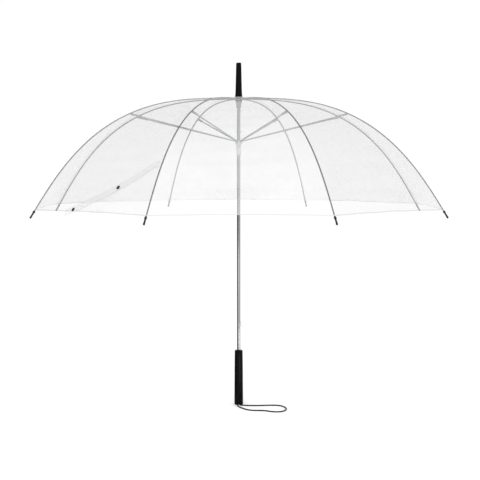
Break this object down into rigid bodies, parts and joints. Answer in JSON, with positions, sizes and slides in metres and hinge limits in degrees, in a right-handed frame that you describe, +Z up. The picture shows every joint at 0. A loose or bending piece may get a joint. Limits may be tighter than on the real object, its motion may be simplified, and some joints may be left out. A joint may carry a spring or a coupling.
{
  "type": "stick umbrella",
  "caption": "Clear-film stick umbrella with a straight handle, a sliding runner, hinged ribs and stretchers, a tie strap and a wrist cord.",
  "frame": {"origin": "centre of the flat end of the handle, on the shaft's axis", "axes": "+Z up the shaft towards the ferrule; ribs stand at 22.5 degrees from +X and every 45 degrees from there"},
  "size_m": [0.9256, 0.9256, 0.8133],
  "materials": {
    "shaft_steel": "satin",
    "spring_steel": "satin",
    "rib_steel": "satin",
    "stretcher_steel": "satin",
    "black_plastic": "gloss",
    "tip_plastic": "satin",
    "snap_plastic": "gloss",
    "clear_plastic": "satin",
    "clear_film": "gloss",
    "strap_film": "gloss",
    "cord": "matte"
  },
  "bodies": {
    "shaft": {"shaft_tube": "shaft_steel", "ferrule": "black_plastic", "canopy_cap": "clear_plastic", "crown": "clear_plastic", "crown_pin": "shaft_steel", "crown_wire": "spring_steel", "stop_pin": "shaft_steel", "handle_grip": "black_plastic", "handle_plug": "black_plastic", "wrist_cord": "cord"},
    "runner": {"runner": "clear_plastic", "runner_wire": "spring_steel"},
    "top_catch": {"top_spring": "spring_steel"},
    "bottom_catch": {"bottom_spring": "spring_steel"},
    "rib_1": {"rib_1": "rib_steel", "canopy_inner_1": "clear_film"},
    "rib_end_1": {"rib_tip_1": "tip_plastic", "canopy_outer_1": "clear_film"},
    "stretcher_1": {"stretcher_1": "stretcher_steel"},
    "rib_2": {"rib_2": "rib_steel", "canopy_inner_2": "clear_film"},
    "rib_end_2": {"rib_tip_2": "tip_plastic", "canopy_outer_2": "clear_film"},
    "stretcher_2": {"stretcher_2": "stretcher_steel"},
    "rib_3": {"rib_3": "rib_steel", "canopy_inner_3": "clear_film"},
    "rib_end_3": {"rib_tip_3": "tip_plastic", "canopy_outer_3": "clear_film"},
    "stretcher_3": {"stretcher_3": "stretcher_steel"},
    "rib_4": {"rib_4": "rib_steel", "canopy_inner_4": "clear_film"},
    "rib_end_4": {"rib_tip_4": "tip_plastic", "canopy_outer_4": "clear_film"},
    "stretcher_4": {"stretcher_4": "stretcher_steel"},
    "rib_5": {"rib_5": "rib_steel", "canopy_inner_5": "clear_film"},
    "rib_end_5": {"rib_tip_5": "tip_plastic", "canopy_outer_5": "clear_film", "snap_stud": "snap_plastic"},
    "stretcher_5": {"stretcher_5": "stretcher_steel"},
    "rib_6": {"rib_6": "rib_steel", "canopy_inner_6": "clear_film"},
    "rib_end_6": {"rib_tip_6": "tip_plastic", "canopy_outer_6": "clear_film", "tie_strap": "strap_film", "snap_socket": "snap_plastic"},
    "stretcher_6": {"stretcher_6": "stretcher_steel"},
    "rib_7": {"rib_7": "rib_steel", "canopy_inner_7": "clear_film"},
    "rib_end_7": {"rib_tip_7": "tip_plastic", "canopy_outer_7": "clear_film"},
    "stretcher_7": {"stretcher_7": "stretcher_steel"},
    "rib_8": {"rib_8": "rib_steel", "canopy_inner_8": "clear_film"},
    "rib_end_8": {"rib_tip_8": "tip_plastic", "canopy_outer_8": "clear_film"},
    "stretcher_8": {"stretcher_8": "stretcher_steel"}
  },
  "joints": [
    {"name": "runner_slide", "type": "slide", "parent": "shaft", "child": "runner", "axis": [0, 0, 1], "range_m": [-0.42114, 0], "deforming": ["top_spring", "bottom_spring"]},
    {"name": "rib_hinge_1", "type": "hinge", "parent": "shaft", "child": "rib_1", "pos_m": [0.00739, 0.00306, 0.7286], "axis": [-0.3827, 0.9239, 0], "range_deg": [0, 75.9], "deforming": ["canopy_inner_1"]},
    {"name": "rib_flex_1", "type": "hinge", "parent": "rib_1", "child": "rib_end_1", "pos_m": [0.2451, 0.10152, 0.69121], "axis": [-0.3827, 0.9239, 0], "range_deg": [-35.51, 0], "deforming": ["rib_1", "canopy_outer_1"]},
    {"name": "stretcher_hinge_1", "type": "hinge", "parent": "rib_1", "child": "stretcher_1", "pos_m": [0.244, 0.10107, 0.68846], "axis": [-0.3827, 0.9239, 0], "range_deg": [-147.58, 0]},
    {"name": "rib_hinge_2", "type": "hinge", "parent": "shaft", "child": "rib_2", "pos_m": [0.00306, 0.00739, 0.7286], "axis": [-0.9239, 0.3827, 0], "range_deg": [0, 75.9], "deforming": ["canopy_inner_2"]},
    {"name": "rib_flex_2", "type": "hinge", "parent": "rib_2", "child": "rib_end_2", "pos_m": [0.10152, 0.2451, 0.69121], "axis": [-0.9239, 0.3827, 0], "range_deg": [-35.51, 0], "deforming": ["rib_2", "canopy_outer_2"]},
    {"name": "stretcher_hinge_2", "type": "hinge", "parent": "rib_2", "child": "stretcher_2", "pos_m": [0.10107, 0.244, 0.68846], "axis": [-0.9239, 0.3827, 0], "range_deg": [-147.58, 0]},
    {"name": "rib_hinge_3", "type": "hinge", "parent": "shaft", "child": "rib_3", "pos_m": [-0.00306, 0.00739, 0.7286], "axis": [-0.9239, -0.3827, 0], "range_deg": [0, 75.9], "deforming": ["canopy_inner_3"]},
    {"name": "rib_flex_3", "type": "hinge", "parent": "rib_3", "child": "rib_end_3", "pos_m": [-0.10152, 0.2451, 0.69121], "axis": [-0.9239, -0.3827, 0], "range_deg": [-35.51, 0], "deforming": ["rib_3", "canopy_outer_3"]},
    {"name": "stretcher_hinge_3", "type": "hinge", "parent": "rib_3", "child": "stretcher_3", "pos_m": [-0.10107, 0.244, 0.68846], "axis": [-0.9239, -0.3827, 0], "range_deg": [-147.58, 0]},
    {"name": "rib_hinge_4", "type": "hinge", "parent": "shaft", "child": "rib_4", "pos_m": [-0.00739, 0.00306, 0.7286], "axis": [-0.3827, -0.9239, 0], "range_deg": [0, 75.9], "deforming": ["canopy_inner_4"]},
    {"name": "rib_flex_4", "type": "hinge", "parent": "rib_4", "child": "rib_end_4", "pos_m": [-0.2451, 0.10152, 0.69121], "axis": [-0.3827, -0.9239, 0], "range_deg": [-35.51, 0], "deforming": ["rib_4", "canopy_outer_4"]},
    {"name": "stretcher_hinge_4", "type": "hinge", "parent": "rib_4", "child": "stretcher_4", "pos_m": [-0.244, 0.10107, 0.68846], "axis": [-0.3827, -0.9239, 0], "range_deg": [-147.58, 0]},
    {"name": "rib_hinge_5", "type": "hinge", "parent": "shaft", "child": "rib_5", "pos_m": [-0.00739, -0.00306, 0.7286], "axis": [0.3827, -0.9239, 0], "range_deg": [0, 75.9], "deforming": ["canopy_inner_5"]},
    {"name": "rib_flex_5", "type": "hinge", "parent": "rib_5", "child": "rib_end_5", "pos_m": [-0.2451, -0.10152, 0.69121], "axis": [0.3827, -0.9239, 0], "range_deg": [-35.51, 0], "deforming": ["rib_5", "canopy_outer_5"]},
    {"name": "stretcher_hinge_5", "type": "hinge", "parent": "rib_5", "child": "stretcher_5", "pos_m": [-0.244, -0.10107, 0.68846], "axis": [0.3827, -0.9239, 0], "range_deg": [-147.58, 0]},
    {"name": "rib_hinge_6", "type": "hinge", "parent": "shaft", "child": "rib_6", "pos_m": [-0.00306, -0.00739, 0.7286], "axis": [0.9239, -0.3827, 0], "range_deg": [0, 75.9], "deforming": ["canopy_inner_6"]},
    {"name": "rib_flex_6", "type": "hinge", "parent": "rib_6", "child": "rib_end_6", "pos_m": [-0.10152, -0.2451, 0.69121], "axis": [0.9239, -0.3827, 0], "range_deg": [-35.51, 0], "deforming": ["rib_6", "canopy_outer_6", "tie_strap"]},
    {"name": "stretcher_hinge_6", "type": "hinge", "parent": "rib_6", "child": "stretcher_6", "pos_m": [-0.10107, -0.244, 0.68846], "axis": [0.9239, -0.3827, 0], "range_deg": [-147.58, 0]},
    {"name": "rib_hinge_7", "type": "hinge", "parent": "shaft", "child": "rib_7", "pos_m": [0.00306, -0.00739, 0.7286], "axis": [0.9239, 0.3827, 0], "range_deg": [0, 75.9], "deforming": ["canopy_inner_7"]},
    {"name": "rib_flex_7", "type": "hinge", "parent": "rib_7", "child": "rib_end_7", "pos_m": [0.10152, -0.2451, 0.69121], "axis": [0.9239, 0.3827, 0], "range_deg": [-35.51, 0], "deforming": ["rib_7", "canopy_outer_7"]},
    {"name": "stretcher_hinge_7", "type": "hinge", "parent": "rib_7", "child": "stretcher_7", "pos_m": [0.10107, -0.244, 0.68846], "axis": [0.9239, 0.3827, 0], "range_deg": [-147.58, 0]},
    {"name": "rib_hinge_8", "type": "hinge", "parent": "shaft", "child": "rib_8", "pos_m": [0.00739, -0.00306, 0.7286], "axis": [0.3827, 0.9239, 0], "range_deg": [0, 75.9], "deforming": ["canopy_inner_8"]},
    {"name": "rib_flex_8", "type": "hinge", "parent": "rib_8", "child": "rib_end_8", "pos_m": [0.2451, -0.10152, 0.69121], "axis": [0.3827, 0.9239, 0], "range_deg": [-35.51, 0], "deforming": ["rib_8", "canopy_outer_8"]},
    {"name": "stretcher_hinge_8", "type": "hinge", "parent": "rib_8", "child": "stretcher_8", "pos_m": [0.244, -0.10107, 0.68846], "axis": [0.3827, 0.9239, 0], "range_deg": [-147.58, 0]},
    {"name": "top_catch_press", "type": "hinge", "parent": "shaft", "child": "top_catch", "pos_m": [0, 0.0026, 0.5627], "axis": [1, 0, 0], "range_deg": [0, 4.6], "stiffness_Nm_per_rad": 0.6},
    {"name": "bottom_catch_press", "type": "hinge", "parent": "shaft", "child": "bottom_catch", "pos_m": [0.0026, 0, 0.2245], "axis": [0, 1, 0], "range_deg": [0, 4.6], "stiffness_Nm_per_rad": 0.6}
  ],
  "couplings": [
    {"joint": "rib_hinge_1", "follows": "runner_slide", "rad_per_m": -3.1452},
    {"joint": "rib_flex_1", "follows": "runner_slide", "rad_per_m": 1.4712},
    {"joint": "stretcher_hinge_1", "follows": "runner_slide", "rad_per_m": 6.1159},
    {"joint": "rib_hinge_2", "follows": "runner_slide", "rad_per_m": -3.1452},
    {"joint": "rib_flex_2", "follows": "runner_slide", "rad_per_m": 1.4712},
    {"joint": "stretcher_hinge_2", "follows": "runner_slide", "rad_per_m": 6.1159},
    {"joint": "rib_hinge_3", "follows": "runner_slide", "rad_per_m": -3.1452},
    {"joint": "rib_flex_3", "follows": "runner_slide", "rad_per_m": 1.4712},
    {"joint": "stretcher_hinge_3", "follows": "runner_slide", "rad_per_m": 6.1159},
    {"joint": "rib_hinge_4", "follows": "runner_slide", "rad_per_m": -3.1452},
    {"joint": "rib_flex_4", "follows": "runner_slide", "rad_per_m": 1.4712},
    {"joint": "stretcher_hinge_4", "follows": "runner_slide", "rad_per_m": 6.1159},
    {"joint": "rib_hinge_5", "follows": "runner_slide", "rad_per_m": -3.1452},
    {"joint": "rib_flex_5", "follows": "runner_slide", "rad_per_m": 1.4712},
    {"joint": "stretcher_hinge_5", "follows": "runner_slide", "rad_per_m": 6.1159},
    {"joint": "rib_hinge_6", "follows": "runner_slide", "rad_per_m": -3.1452},
    {"joint": "rib_flex_6", "follows": "runner_slide", "rad_per_m": 1.4712},
    {"joint": "stretcher_hinge_6", "follows": "runner_slide", "rad_per_m": 6.1159},
    {"joint": "rib_hinge_7", "follows": "runner_slide", "rad_per_m": -3.1452},
    {"joint": "rib_flex_7", "follows": "runner_slide", "rad_per_m": 1.4712},
    {"joint": "stretcher_hinge_7", "follows": "runner_slide", "rad_per_m": 6.1159},
    {"joint": "rib_hinge_8", "follows": "runner_slide", "rad_per_m": -3.1452},
    {"joint": "rib_flex_8", "follows": "runner_slide", "rad_per_m": 1.4712},
    {"joint": "stretcher_hinge_8", "follows": "runner_slide", "rad_per_m": 6.1159}
  ]
}
